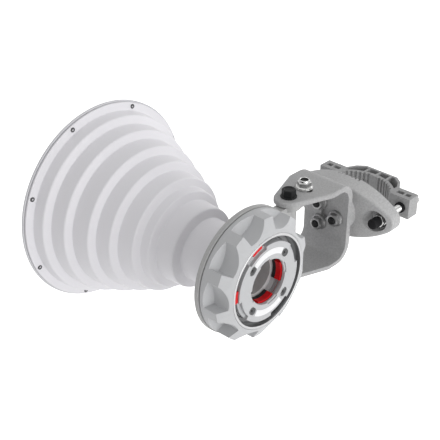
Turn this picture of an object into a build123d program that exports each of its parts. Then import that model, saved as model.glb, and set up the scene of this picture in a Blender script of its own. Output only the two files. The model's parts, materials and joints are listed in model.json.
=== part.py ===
from build123d import *
from math import asin, cos, degrees, radians, sin, tan
import os

# Stepped horn antenna with a twist lock port, carried beside a mast by a tilting yoke and a clamp.
# All sizes are in millimetres. Z is up. The mast axis is the Z axis of the frame.
# The horn lies at +X and looks along -Y, so its radio port faces +Y.

# Main places
flange_y = 7.0
pivot_x = 128.0
horn_reach = 77.0
horn_x = pivot_x + horn_reach

# Gaps used by several fits
hole_gap = 0.3
bolt_gap = 0.1
face_gap = 0.15
cut_past = 5.0
overlap = 1.0
hole_end_room = 2.0

# Horn
horn_wall = 2.5
neck_r = 33.5
mouth_r = 111.0
neck_length = 51.0
band_lengths = (24.0, 13.0, 23.0, 22.0, 25.0, 22.0, 17.0)
band_draft = 1.0
step_lean = 3.0
mouth_lean = 1.5
mouth_flange_t = 2.0
mouth_round = 0.5
step_outer_round = 2.4
step_inner_round = 1.2

# Radome
radome_overhang = 1.8
radome_rim_t = 3.0
radome_edge_lean = 1.2
radome_crown = 7.0
radome_edge_w = 2.0
radome_t = 2.4
radome_skin = 1.0
radome_seal_t = 0.8
radome_seal_w = 4.0
radome_r = mouth_r + radome_overhang
flange_screw_count = 8
flange_screw_inset = 4.0
flange_screw_angle = 22.5
flange_screw_r = 1.5
flange_screw_head_r = 2.6
flange_screw_head_t = 1.4
flange_screw_length = 4.6
flange_screw_room = 4.0
flange_screw_pcd_r = mouth_r - flange_screw_inset

# Feed throat
guide_r = 19.5
guide_length = 13.0
guide_step = 1.0
seat_h = 19.5
throat_gap = 0.2
throat_edge = 2.3
throat_flare_length = 15.0
throat_length = 45.0
inner_guide_r = guide_r - guide_step
throat_r = neck_r - horn_wall - throat_gap

# Port housing, cover and screws. Radii grow outwards from the bore of the port.
port_bore_r = 25.0
pillar_r = 4.2
pillar_inset = 7.3
housing_rim_w = 9.7
housing_top_h = 24.0
cover_screw_pcd_r = port_bore_r + pillar_inset
housing_r = cover_screw_pcd_r + housing_rim_w
cover_t = 6.7
cover_plate_t = 3.5
cover_lip = 1.0
cover_relief_w = 1.8
relief_angle = 14.0
relief_span_angle = 32.0
cover_relief_t = 1.5
cover_bore_r = port_bore_r - cover_lip
shelf_bore_r = port_bore_r + cover_lip
notch_depth = 3.5
notch_angle = 24.0
notch_span_angle = 35.0
cover_screw_r = 2.0
cover_screw_head_r = 3.4
cover_screw_head_t = 2.2
cover_screw_sink = 3.2
cover_screw_angle = 45.0
cover_screw_length = 18.0
cross_length = 3.8
cross_width = 0.9
cross_depth = 1.2
cross_turn_angle = 30.0
recess_arc_angle = 4.0
recess_gap = 0.5
label_t = 0.2
label_inset = 5.5
label_w = 6.5
upper_label_angle = 91.5
upper_label_span_angle = 72.0
lower_label_angle = 269.0
lower_label_span_angle = 66.0

# Lock rotor inside the ring
rotor_gap = 0.3
rotor_t = 3.7
rotor_bore_gap = 0.6
rotor_inset = 1.0
lock_turn_angle = 35.0
lock_jaw_reach = 1.5
lock_jaw_span_angle = 54.0
lock_jaw_h = 2.8
pad_gap = 1.0
pad_inset = 0.4
ear_angles = (111.0, 176.5)
ear_h = 4.6
ear_span_angle = 17.0
ear_key = 1.4
key_gap = 0.2
key_side_angle = 0.3
ear_cover_gap = 0.4
lock_jaw_r = cover_bore_r - lock_jaw_reach
rotor_inner_r = port_bore_r + rotor_bore_gap
rotor_outer_r = housing_r - rotor_inset
shelf_bottom_h = housing_top_h + rotor_t + 2 * rotor_gap
port_face_h = shelf_bottom_h + cover_t

# Locking ring, with heights above the flange face
ring_gap = 0.6
groove_w = 5.4
trim_t = 2.6
trim_gap = 0.2
trim_h = 6.0
ring_lip = 0.8
ring_cone_w = 14.5
ring_cone_h = 7.8
ring_face_drop = 0.4
ring_draft = 0.3
ring_edge_round = 0.6
ring_shelf_h = 17.8
seal_gap = 0.4
groove_r = housing_r + groove_w
trim_seat_r = groove_r + trim_t + trim_gap
trim_seat_h = port_face_h - trim_h
ring_face_r = trim_seat_r + ring_lip
ring_face_h = port_face_h - ring_face_drop
ring_edge_r = ring_face_r + ring_cone_w
ring_edge_h = ring_face_h - ring_cone_h
ring_back_r = ring_edge_r + ring_draft
pocket_count = 10
pocket_wall_angle = 7.3
scoop_r = 32.0
scoop_offset = 20.4
scoop_angle = 6.7
pocket_back_h = 14.3
pocket_back_drop = 3.6
pocket_depth = 11.0
pocket_relief = 1.0

# Carrier
flange_lip = 1.2
carrier_flange_t = 5.2
carrier_flange_round = 0.6
carrier_hub_wall = 12.4
carrier_hub_t = 9.0
hub_draft = 3.0
carrier_rib_t = 3.0
carrier_rib_h = 3.0
carrier_rib_inset = 7.0
carrier_rib_count = 8
column_r = 8.5
lug_r = 12.5
lug_t = 5.0
ear_r = 8.5
arm_t = 12.0
arm_overlap = 3.0
carrier_flange_r = ring_back_r + flange_lip

# Yoke
yoke_half_height = 46.5
plate_t = 5.5
web_t = 8.0
web_x = 64.0
waist_length = 14.0
tip_r = 15.3
taper_angle = 20.0
plate_half = 29.5
shoulder_round = 12.0
web_half = 28.5
top_bend = 14.0
bottom_bend = 15.0
yoke_round = 2.0
azimuth_reach = 24.5
azimuth_range_angle = 15.0
elevation_pcd_r = 14.4
elevation_bolt_count = 3
elevation_range_angle = 15.0
spigot_r = 6.0
spigot_h = 4.0

# Hardware of metric size eight
bolt_r = 4.0
nut_flats = 13.0
nut_t = 6.4
nut_flange_r = 8.6
nut_flange_t = 1.6
washer_r = 9.0
washer_t = 1.6
spot_gap = 0.5
head_t = 5.4
pivot_head_t = 8.6
pivot_shank = 26.0
pivot_washer_t = 1.0
pivot_washer_r = 11.5
azimuth_nut_t = 8.6
bolt_end_sink = 1.6
elevation_bolt_end = 1.8
clamp_head_t = 9.0

# Clamp base
base_back_x = 23.0
base_mid_x = 47.0
base_nose_x = 37.0
clamp_bolt_y = 50.6
base_end_w = 17.4
base_half_height = 31.0
base_nose_w = 5.0
base_end_z = 10.3
base_half_length = clamp_bolt_y + base_end_w
base_rim_round = 2.0
boss_r = 26.0
boss_round = 1.5
base_arc_r = 41.0
base_arc_depth = 2.5
tooth_count = 7
tooth_w = 2.2
tooth_depth = 1.6
tooth_pitch = 4.4
head_pocket_r = 8.2
head_seat_x = 33.0
recess_r = 10.8
nut_seat_x = 33.0
scoop_shift = 4.6
scoop_flare = 2.2

# Clamp jaw
jaw_half_height = 12.0
jaw_end_w = 10.4
wing_inner_x = -3.0
wing_outer_x = -20.0
hump_x = -38.0
hump_half = 21.0
hump_side_x = -31.0
hump_side_y = 30.0
hump_foot_y = 36.0
jaw_arc_r = 41.0
jaw_arc_x = -22.5
jaw_skin = 3.2
jaw_rib_t = 2.6
jaw_rib_y = 14.5
jaw_floor_t = 3.0
wing_pocket_w = 5.5
wing_pocket_depth = 6.5
wing_pocket_offsets = (-7.1, 2.6)
wing_pocket_lengths = (8.8, 6.4)
jaw_tooth_w = 2.6
jaw_tooth_depth = 2.0
jaw_tooth_angles = (10.0, 17.0, 24.0, 31.0, 38.0, 45.0)
sleeve_r = 6.0
sleeve_t = 3.4
cap_r = 5.8
cap_length = 11.0
cap_end_t = 2.0
cap_round = 1.5

# Planes. On the port plane x points to the mast, y up and z out of the port.
# On the profile plane x is the distance from the horn axis and y the height above the flange.
port = Plane(origin=(horn_x, flange_y, 0), x_dir=(-1, 0, 0), z_dir=(0, 1, 0))
profile = Plane(origin=(horn_x, flange_y, 0), x_dir=(1, 0, 0), z_dir=(0, 0, 1))
facing_x = Plane(origin=(0, 0, 0), x_dir=(0, 1, 0), z_dir=(1, 0, 0))
horn_axis = Axis((horn_x, flange_y, 0), (0, 1, 0))

plate_z = yoke_half_height - plate_t
waist_x = web_x + waist_length
lug_z = plate_z - face_gap - pivot_washer_t
back_x = web_x - web_t
boss_x = back_x - hole_gap
quarters = (0, 90, 180, 270)
os.makedirs("parts", exist_ok=True)


def save(builder, label):
    """Names a finished piece and writes it to its own file."""
    builder.part.label = label
    export_step(builder.part, f"parts/{label}.step")


def outline(points, mode=Mode.ADD):
    """Face of a closed polyline in the current sketch."""
    with BuildLine() as border:
        Polyline(*points, close=True)
    make_face(border.edges(), mode=mode)


def turned(points):
    """Solid turned round the horn axis from distance and height points."""
    with BuildSketch(profile) as section:
        outline(points)
    revolve(section.sketch, axis=horn_axis)


def sector(r_in, r_out, middle, span, mode=Mode.ADD):
    """Part of a ring in the current sketch, centred on an angle in degrees."""
    start = middle - span / 2
    with BuildLine() as border:
        outer = CenterArc((0, 0), r_out, start, span)
        inner = CenterArc((0, 0), r_in, start, span)
        Line(outer @ 0, inner @ 0)
        Line(outer @ 1, inner @ 1)
    make_face(border.edges(), mode=mode)


def disc(plane, places, radius, height, mode=Mode.ADD):
    """Round bosses or holes that rise from a plane at the given places."""
    with BuildSketch(plane) as rounds:
        with Locations(*places):
            Circle(radius)
    extrude(rounds.sketch, amount=height, mode=mode)


def hexagon(plane, places, height):
    """Hexagon blocks that rise from a plane at the given places."""
    with BuildSketch(plane) as flats:
        with Locations(*places):
            RegularPolygon(nut_flats / 2, 6, major_radius=False)
    extrude(flats.sketch, amount=height)


def on_rim(edge):
    """True for an edge of the yoke block that runs round its two flat sides."""
    middle = edge @ 0.5
    ends = (edge @ 0, edge @ 1)
    across = abs(ends[0].Y - ends[1].Y) > web_half
    upright = abs(middle.Z) < plate_z - 1 and middle.X > web_x
    return not across and not upright


def dome(height, reach, rise):
    """Arc that leaves the horn axis square to it and rises over a given reach."""
    radius = (reach**2 + rise**2) / (2 * rise)
    return JernArc((0, height), (1, 0), radius, degrees(asin(reach / radius)))


def polar(radius, angle):
    """Point at a distance and an angle in degrees."""
    return (radius * cos(radians(angle)), radius * sin(radians(angle)))


# Horn shell: bands of growing radius, each joined to the next by a rounded step
lengths = (neck_length,) + band_lengths
step_rise = (mouth_r - neck_r) / len(lengths)
outer_path = [(neck_r, 0)]
inner_path = [(neck_r - horn_wall, 0)]
outer_rounds = []
inner_rounds = []
reach = 0.0
for k, length in enumerate(lengths[:-1]):
    reach += length
    before = neck_r + k * step_rise + (band_draft if k else 0)
    after = neck_r + (k + 1) * step_rise
    outer_path += [(before, -reach), (after, -reach - step_lean)]
    outer_rounds += [step_inner_round, step_outer_round]
    inner_path += [(before - horn_wall, -reach - horn_wall)]
    inner_path += [(after - horn_wall, -reach - step_lean - horn_wall)]
    inner_rounds += [step_inner_round, step_inner_round]
reach += lengths[-1]
last_r = mouth_r - step_rise + band_draft
mouth_bore_r = last_r - horn_wall
mouth_h = -reach - mouth_lean - mouth_flange_t
outer_path += [(last_r, -reach), (mouth_r, -reach - mouth_lean), (mouth_r, mouth_h)]
outer_rounds += [step_inner_round, mouth_round]
inner_path += [(mouth_bore_r, mouth_h)]
screw_places = [
    polar(flange_screw_pcd_r, flange_screw_angle + 360 * k / flange_screw_count)
    for k in range(flange_screw_count)
]
screw_seat_h = mouth_h + mouth_flange_t
head_room_r = flange_screw_head_r + hole_gap
with BuildPart() as horn_shell:
    with BuildSketch(profile):
        with BuildLine():
            outside = FilletPolyline(*outer_path, radius=outer_rounds)
            inside = FilletPolyline(*inner_path, radius=inner_rounds)
            Line(outside @ 0, inside @ 0)
            Line(outside @ 1, inside @ 1)
        make_face()
    revolve(axis=horn_axis)
    disc(port.offset(mouth_h), screw_places, flange_screw_r + bolt_gap, 3 * mouth_flange_t, Mode.SUBTRACT)
    disc(port.offset(screw_seat_h), screw_places, head_room_r, flange_screw_room, Mode.SUBTRACT)
save(horn_shell, "horn_shell")

# Radome: shallow dome with a rim that takes the flange screws
radome_back_h = mouth_h - radome_seal_t
radome_front_h = radome_back_h - radome_rim_t
dome_h = radome_front_h - radome_crown
with BuildPart() as radome:
    with BuildSketch(profile):
        with BuildLine():
            crown = dome(dome_h, radome_r - radome_edge_w, radome_crown)
            rim_top = (radome_r, radome_front_h + radome_edge_lean)
            rim = Polyline(crown @ 1, rim_top, (radome_r, radome_back_h))
            hollow = dome(dome_h + radome_t, mouth_bore_r, radome_back_h - dome_h - radome_t)
            Line(rim @ 1, hollow @ 1)
            Line(hollow @ 0, crown @ 0)
        make_face()
    revolve(axis=horn_axis)
    blind = radome_skin - radome_rim_t
    disc(port.offset(radome_back_h), screw_places, flange_screw_r + bolt_gap, blind, Mode.SUBTRACT)
save(radome, "radome")

# Flat seal between mouth flange and radome, inside the ring of screws
with BuildPart() as radome_seal:
    with BuildSketch(port.offset(radome_back_h)):
        Circle(mouth_bore_r + radome_seal_w)
        Circle(mouth_bore_r, mode=Mode.SUBTRACT)
    extrude(amount=radome_seal_t)
save(radome_seal, "radome_seal")

# Screws of the radome, with their heads on the back of the mouth flange
with BuildPart() as flange_screws:
    disc(port.offset(screw_seat_h), screw_places, flange_screw_head_r, flange_screw_head_t)
    disc(port.offset(screw_seat_h), screw_places, flange_screw_r, -flange_screw_length)
save(flange_screws, "flange_screws")

# Feed throat: round waveguide from the port seat to the neck of the horn
with BuildPart() as feed_throat:
    turned(
        [
            (guide_r, seat_h),
            (port_bore_r - throat_gap, seat_h),
            (port_bore_r - throat_gap, carrier_flange_t),
            (throat_r, carrier_flange_t),
            (throat_r, -throat_length),
            (throat_r - throat_edge, -throat_length),
            (inner_guide_r, -throat_length + throat_flare_length),
            (inner_guide_r, seat_h - guide_length),
            (guide_r, seat_h - guide_length),
        ]
    )
save(feed_throat, "feed_throat")

# Carrier: round flange behind the ring, hub on the neck, arm, and pivot column with two lugs
hub_bore_r = throat_r + throat_gap / 2
neck_bore_r = neck_r + throat_gap / 2
carrier_hub_r = neck_bore_r + carrier_hub_wall
carrier_rib_r = carrier_flange_r - carrier_rib_inset
arm_end_x = horn_x - carrier_hub_r + arm_overlap
column = [(pivot_x, 0)]
azimuth_x = pivot_x - azimuth_reach
with BuildPart() as carrier:
    turned(
        [
            (hub_bore_r, 0),
            (neck_bore_r, 0),
            (neck_bore_r, -carrier_hub_t),
            (carrier_hub_r, -carrier_hub_t),
            (carrier_hub_r + hub_draft, 0),
            (carrier_flange_r - carrier_flange_round, 0),
            (carrier_flange_r, carrier_flange_round),
            (carrier_flange_r, carrier_flange_t),
            (hub_bore_r, carrier_flange_t),
        ]
    )
    with BuildSketch(port):
        rib_middle_r = (carrier_hub_r + carrier_rib_r) / 2
        with PolarLocations(rib_middle_r, carrier_rib_count, start_angle=flange_screw_angle):
            Rectangle(carrier_rib_r - carrier_hub_r, carrier_rib_t)
    extrude(amount=-carrier_rib_h)
    with BuildSketch(Plane.XY.offset(-lug_z)):
        with Locations(((pivot_x + arm_end_x) / 2, flange_y - arm_t / 2)):
            Rectangle(arm_end_x - pivot_x, arm_t)
    extrude(amount=2 * lug_z)
    disc(Plane.XY.offset(-lug_z), column, column_r, 2 * lug_z)
    disc(Plane.XY.offset(-lug_z), column, lug_r, lug_t)
    with BuildSketch(Plane.XY.offset(lug_z - lug_t)):
        with Locations((pivot_x, 0)):
            Circle(lug_r)
        with Locations((azimuth_x, 0)):
            Circle(ear_r)
        make_hull()
    extrude(amount=lug_t)
    shank_hole = pivot_shank - yoke_half_height + lug_z + hole_end_room
    disc(Plane.XY.offset(lug_z - shank_hole), column, bolt_r + bolt_gap, shank_hole, Mode.SUBTRACT)
    disc(Plane.XY.offset(-lug_z), column, bolt_r + bolt_gap, shank_hole, Mode.SUBTRACT)
    disc(Plane.XY.offset(lug_z - lug_t), [(azimuth_x, 0)], bolt_r + bolt_gap, lug_t, Mode.SUBTRACT)
save(carrier, "carrier")

# Port housing: bearing of the ring, bore of the port, and four pillars under the cover
pillar_places = [polar(cover_screw_pcd_r, cover_screw_angle + a) for a in quarters]
screw_head_h = port_face_h - cover_screw_sink
screw_hole = cover_screw_length - screw_head_h + shelf_bottom_h + hole_end_room
with BuildPart() as port_housing:
    with BuildSketch(port.offset(carrier_flange_t)):
        Circle(housing_r)
        Circle(port_bore_r, mode=Mode.SUBTRACT)
    extrude(amount=housing_top_h - carrier_flange_t)
    disc(port.offset(housing_top_h), pillar_places, pillar_r, shelf_bottom_h - housing_top_h)
    disc(port.offset(shelf_bottom_h), pillar_places, cover_screw_r + bolt_gap, -screw_hole, Mode.SUBTRACT)
save(port_housing, "port_housing")

# Port cover: notched face plate on a round shelf
plate_h = port_face_h - cover_plate_t
relief_r = cover_bore_r + cover_relief_w
recess_paths = [
    CenterArc((0, 0), cover_screw_pcd_r, cover_screw_angle + a - recess_arc_angle / 2, recess_arc_angle)
    for a in quarters
]
with BuildPart() as port_cover:
    with BuildSketch(port.offset(shelf_bottom_h)):
        Circle(housing_r)
        Circle(shelf_bore_r, mode=Mode.SUBTRACT)
    extrude(amount=plate_h - shelf_bottom_h)
    with BuildSketch(port.offset(plate_h)):
        Circle(housing_r)
        Circle(cover_bore_r, mode=Mode.SUBTRACT)
        for a in quarters:
            middle = notch_angle + a
            sector(housing_r - notch_depth, housing_r + overlap, middle, notch_span_angle, Mode.SUBTRACT)
    extrude(amount=cover_plate_t)
    with BuildSketch(port.offset(port_face_h)):
        for a in quarters:
            sector(cover_bore_r - overlap, relief_r, relief_angle + a, relief_span_angle)
    extrude(amount=-cover_relief_t, mode=Mode.SUBTRACT)
    with BuildSketch(port.offset(port_face_h)):
        for path in recess_paths:
            SlotArc(path, 2 * (cover_screw_head_r + recess_gap))
    extrude(amount=-cover_screw_sink, mode=Mode.SUBTRACT)
    disc(port.offset(shelf_bottom_h), pillar_places, cover_screw_r + bolt_gap, cover_t, Mode.SUBTRACT)
save(port_cover, "port_cover")

# Four cover screws with a cross recess
with BuildPart() as cover_screws:
    disc(port.offset(screw_head_h), pillar_places, cover_screw_head_r, cover_screw_head_t)
    disc(port.offset(screw_head_h), pillar_places, cover_screw_r, -cover_screw_length)
    with BuildSketch(port.offset(screw_head_h + cover_screw_head_t)):
        with Locations(*pillar_places):
            Rectangle(cross_length, cross_width, rotation=cross_turn_angle)
            Rectangle(cross_width, cross_length, rotation=cross_turn_angle)
    extrude(amount=-cross_depth, mode=Mode.SUBTRACT)
save(cover_screws, "cover_screws")

# Two bare arc labels on the cover
label_inner_r = cover_bore_r + label_inset
label_outer_r = label_inner_r + label_w
with BuildPart() as cover_labels:
    with BuildSketch(port.offset(port_face_h)):
        sector(label_inner_r, label_outer_r, upper_label_angle, upper_label_span_angle)
        sector(label_inner_r, label_outer_r, lower_label_angle, lower_label_span_angle)
    extrude(amount=label_t)
save(cover_labels, "cover_labels")

# Locking ring: thick ring with ten scooped grip pockets
ring_bore_r = housing_r + hole_gap
ring_back_h = carrier_flange_t + ring_gap
scoop_drop = pocket_back_drop * (pocket_depth + pocket_relief) / pocket_depth
scoop_end_r = scoop_r - pocket_depth - pocket_relief
scoop_at = polar(ring_edge_r + scoop_offset, pocket_wall_angle - scoop_angle)
with BuildPart() as pocket_tool:
    with Locations(port.offset(pocket_back_h).location * Location((scoop_at[0], scoop_at[1], 0))):
        Cylinder(scoop_r, port_face_h, align=(Align.CENTER, Align.CENTER, Align.MIN))
        Cone(scoop_end_r, scoop_r, scoop_drop, align=(Align.CENTER, Align.CENTER, Align.MAX))
    with BuildSketch(port):
        far = 2 * carrier_flange_r
        pitch = 360 / pocket_count
        outline([(0, 0), polar(far, pocket_wall_angle), polar(far, pocket_wall_angle - pitch)])
    extrude(amount=2 * port_face_h, mode=Mode.INTERSECT)
with BuildPart() as lock_ring:
    turned(
        [
            (ring_bore_r, ring_back_h),
            (ring_back_r - ring_edge_round, ring_back_h),
            (ring_back_r, ring_back_h + ring_edge_round),
            (ring_edge_r, ring_edge_h),
            (ring_face_r, ring_face_h),
            (trim_seat_r, ring_face_h),
            (trim_seat_r, trim_seat_h),
            (groove_r, trim_seat_h),
            (groove_r, ring_shelf_h),
            (ring_bore_r, ring_shelf_h),
        ]
    )
    for k in range(pocket_count):
        add(pocket_tool.part.rotate(horn_axis, 360 * k / pocket_count), mode=Mode.SUBTRACT)
    with BuildSketch(port.offset(housing_top_h)):
        for a in ear_angles:
            sector(groove_r - overlap, groove_r + ear_key + key_gap, a, ear_span_angle + 2 * key_side_angle)
    extrude(amount=trim_seat_h - housing_top_h, mode=Mode.SUBTRACT)
save(lock_ring, "lock_ring")

# Bright trim ring on the inner rim of the locking ring
with BuildPart() as trim_ring:
    with BuildSketch(port.offset(trim_seat_h)):
        Circle(groove_r + trim_t)
        Circle(groove_r, mode=Mode.SUBTRACT)
    extrude(amount=port_face_h - trim_seat_h)
save(trim_ring, "trim_ring")

# Soft ring at the bottom of the groove
with BuildPart() as groove_seal:
    with BuildSketch(port.offset(ring_shelf_h)):
        Circle(groove_r - trim_gap)
        Circle(housing_r + ear_cover_gap, mode=Mode.SUBTRACT)
    extrude(amount=housing_top_h - ring_shelf_h - seal_gap)
save(groove_seal, "groove_seal")

# Lock rotor: slotted ring with four jaws in the bore and two ears keyed into the locking ring
rotor_bottom_h = housing_top_h + rotor_gap
rotor_top_h = rotor_bottom_h + rotor_t
rotor_start = cover_screw_angle - lock_turn_angle
rotor_paths = [
    CenterArc((0, 0), cover_screw_pcd_r, rotor_start + a, lock_turn_angle) for a in quarters
]
with BuildPart() as lock_rotor:
    with BuildSketch(port.offset(rotor_bottom_h)):
        Circle(rotor_outer_r)
        Circle(rotor_inner_r, mode=Mode.SUBTRACT)
        for a in ear_angles:
            sector(rotor_outer_r - overlap, groove_r + ear_key, a, ear_span_angle)
        for a in quarters:
            sector(lock_jaw_r, rotor_inner_r + overlap, a, lock_jaw_span_angle)
        for path in rotor_paths:
            SlotArc(path, 2 * (pillar_r + rotor_gap), mode=Mode.SUBTRACT)
    extrude(amount=rotor_top_h - rotor_bottom_h)
    with BuildSketch(port.offset(rotor_top_h)):
        for a in quarters:
            sector(lock_jaw_r, rotor_inner_r, a, lock_jaw_span_angle)
    extrude(amount=lock_jaw_h)
    with BuildSketch(port.offset(rotor_top_h)):
        for a in ear_angles:
            sector(housing_r + ear_cover_gap, groove_r - trim_gap, a, ear_span_angle)
    extrude(amount=ear_h)
save(lock_rotor, "lock_rotor")

# Soft pads under the four jaws
pad_bottom_h = seat_h + pad_gap
with BuildPart() as lock_pads:
    with BuildSketch(port.offset(pad_bottom_h)):
        for a in quarters:
            sector(lock_jaw_r, port_bore_r - pad_inset, a, lock_jaw_span_angle)
    extrude(amount=rotor_bottom_h - pad_bottom_h)
save(lock_pads, "lock_pads")

# Yoke: bent plate with a tapered tongue above and below
side_x = pivot_x + tip_r * sin(radians(taper_angle))
side_y = tip_r * cos(radians(taper_angle))
shoulder_x = side_x - (plate_half - side_y) / tan(radians(taper_angle))
yoke_end_x = pivot_x + tip_r + cut_past
azimuth_path = CenterArc((pivot_x, 0), azimuth_reach, 180 - azimuth_range_angle, 2 * azimuth_range_angle)
elevation_angles = [360 * k / elevation_bolt_count for k in range(elevation_bolt_count)]
elevation_paths = [
    CenterArc((0, 0), elevation_pcd_r, a - elevation_range_angle, 2 * elevation_range_angle)
    for a in elevation_angles
]
elevation_places = [polar(elevation_pcd_r, a) for a in elevation_angles]
with BuildPart() as yoke:
    with BuildSketch(Plane.XY.offset(-yoke_half_height)):
        with BuildLine():
            sides = FilletPolyline(
                (side_x, side_y),
                (shoulder_x, plate_half),
                (waist_x, plate_half),
                (back_x - overlap, web_half),
                (back_x - overlap, -web_half),
                (waist_x, -plate_half),
                (shoulder_x, -plate_half),
                (side_x, -side_y),
                radius=(shoulder_round, shoulder_round, 0, 0, shoulder_round, shoulder_round),
            )
            ThreePointArc(sides @ 1, (pivot_x + tip_r, 0), sides @ 0)
        make_face()
    extrude(amount=2 * yoke_half_height)
    with BuildSketch(Plane.XZ):
        with BuildLine():
            outer = FilletPolyline(
                (yoke_end_x, yoke_half_height),
                (back_x, yoke_half_height),
                (back_x, -yoke_half_height),
                (yoke_end_x, -yoke_half_height),
                radius=(top_bend + plate_t, bottom_bend + plate_t),
            )
            Line(outer @ 0, outer @ 1)
        make_face()
    extrude(amount=2 * web_half, both=True, mode=Mode.INTERSECT)
    rims = yoke.edges().filter_by(lambda edge: on_rim(edge))
    fillet(rims, radius=yoke_round)
    with BuildSketch(Plane.XZ):
        with BuildLine():
            inner = FilletPolyline(
                (yoke_end_x, plate_z),
                (web_x, plate_z),
                (web_x, -plate_z),
                (yoke_end_x, -plate_z),
                radius=(top_bend, bottom_bend),
            )
            Line(inner @ 0, inner @ 1)
        make_face()
    extrude(amount=2 * web_half, both=True, mode=Mode.SUBTRACT)
    disc(Plane.XY.offset(-yoke_half_height), column, bolt_r + hole_gap, 2 * yoke_half_height, Mode.SUBTRACT)
    with BuildSketch(Plane.XY.offset(plate_z)):
        SlotArc(azimuth_path, 2 * (bolt_r + hole_gap))
    extrude(amount=plate_t, mode=Mode.SUBTRACT)
    with BuildSketch(facing_x.offset(back_x)):
        Circle(spigot_r + hole_gap)
        for path in elevation_paths:
            SlotArc(path, 2 * (bolt_r + hole_gap))
    extrude(amount=web_t, mode=Mode.SUBTRACT)
    with BuildSketch(facing_x.offset(web_x)):
        for path in elevation_paths:
            SlotArc(path, 2 * (washer_r + spot_gap))
    extrude(amount=bottom_bend, mode=Mode.SUBTRACT)
save(yoke, "yoke")

# Pivot bolts, one from above and one from below
head_z = yoke_half_height + face_gap
with BuildPart() as pivot_bolts:
    for side in (1, -1):
        seat = Plane.XY.offset(side * head_z)
        disc(seat, column, nut_flange_r, side * nut_flange_t)
        hexagon(seat, column, side * pivot_head_t)
        disc(seat, column, bolt_r, -side * pivot_shank)
save(pivot_bolts, "pivot_bolts")

# Thin washers between the lugs and the yoke
with BuildPart() as pivot_washers:
    for side in (1, -1):
        with BuildSketch(Plane.XY.offset(side * lug_z)):
            with Locations((pivot_x, 0)):
                Circle(pivot_washer_r)
                Circle(bolt_r + bolt_gap, mode=Mode.SUBTRACT)
        extrude(amount=side * pivot_washer_t)
save(pivot_washers, "pivot_washers")

# Bolt, washer and nut that lock the azimuth
ear_bottom_z = lug_z - lug_t
nut_z = head_z + washer_t
nut_top_z = nut_z + azimuth_nut_t
ear_place = [(azimuth_x, 0)]
with BuildPart() as azimuth_bolt:
    hexagon(Plane.XY.offset(ear_bottom_z), ear_place, -head_t)
    disc(Plane.XY.offset(ear_bottom_z), ear_place, bolt_r, nut_top_z - bolt_end_sink - ear_bottom_z)
save(azimuth_bolt, "azimuth_bolt")
with BuildPart() as azimuth_washer:
    disc(Plane.XY.offset(head_z), ear_place, washer_r, washer_t)
    disc(Plane.XY.offset(head_z), ear_place, bolt_r + bolt_gap, washer_t, Mode.SUBTRACT)
save(azimuth_washer, "azimuth_washer")
with BuildPart() as azimuth_nut:
    disc(Plane.XY.offset(nut_z), ear_place, nut_flange_r, nut_flange_t)
    hexagon(Plane.XY.offset(nut_z), ear_place, azimuth_nut_t)
    disc(Plane.XY.offset(nut_z), ear_place, bolt_r + bolt_gap, azimuth_nut_t, Mode.SUBTRACT)
save(azimuth_nut, "azimuth_nut")

# Clamp base: lens shaped block with a round boss for the yoke and an arc of teeth for the mast
clamp_places = [(clamp_bolt_y, 0), (-clamp_bolt_y, 0)]
base_end_y = base_half_length - base_nose_w
with BuildPart() as clamp_base:
    with BuildSketch(facing_x.offset(base_back_x)):
        with BuildLine():
            top = ThreePointArc((-base_end_y, base_end_z), (0, base_half_height), (base_end_y, base_end_z))
            near = ThreePointArc(top @ 1, (base_half_length, 0), (base_end_y, -base_end_z))
            low = ThreePointArc(near @ 1, (0, -base_half_height), (-base_end_y, -base_end_z))
            ThreePointArc(low @ 1, (-base_half_length, 0), top @ 0)
        make_face()
    extrude(amount=base_mid_x - base_back_x + overlap)
    with BuildSketch(Plane.XY):
        with BuildLine():
            front = ThreePointArc(
                (base_nose_x, -base_half_length), (base_mid_x, 0), (base_nose_x, base_half_length)
            )
            Polyline(
                front @ 1, (base_back_x, base_half_length), (base_back_x, -base_half_length), front @ 0
            )
        make_face()
    extrude(amount=base_half_height, both=True, mode=Mode.INTERSECT)
    fillet(clamp_base.faces().sort_by(Axis.X)[-1].outer_wire().edges(), radius=base_rim_round)
    disc(facing_x.offset(head_seat_x), [(0, 0)], boss_r, boss_x - head_seat_x)
    fillet(clamp_base.faces().sort_by(Axis.X)[-1].outer_wire().edges(), radius=boss_round)
    disc(facing_x.offset(boss_x), [(0, 0)], spigot_r, spigot_h)
    disc(facing_x.offset(nut_seat_x), clamp_places, recess_r, base_mid_x, Mode.SUBTRACT)
    for side in (1, -1):
        with BuildSketch(facing_x.offset(nut_seat_x)):
            with Locations((side * clamp_bolt_y, 0)):
                Circle(recess_r)
        with BuildSketch(facing_x.offset(base_mid_x)):
            with Locations((side * (clamp_bolt_y - scoop_shift), 0)):
                Circle(recess_r + scoop_flare)
        loft(mode=Mode.SUBTRACT)
    disc(facing_x, clamp_places, bolt_r + hole_gap, base_mid_x, Mode.SUBTRACT)
    disc(facing_x.offset(base_back_x), elevation_places, bolt_r + bolt_gap, back_x, Mode.SUBTRACT)
    head_room = head_seat_x - base_back_x
    disc(facing_x.offset(base_back_x), elevation_places, head_pocket_r, head_room, Mode.SUBTRACT)
    with BuildSketch(Plane.XY):
        with Locations((base_back_x + base_arc_depth - base_arc_r, 0)):
            Circle(base_arc_r)
        for k in range(tooth_count):
            with Locations((base_back_x + base_arc_depth / 2, (k - (tooth_count - 1) / 2) * tooth_pitch)):
                Rectangle(base_arc_depth + 2 * tooth_depth, tooth_w)
    extrude(amount=base_half_height, both=True, mode=Mode.SUBTRACT)
save(clamp_base, "clamp_base")

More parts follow.
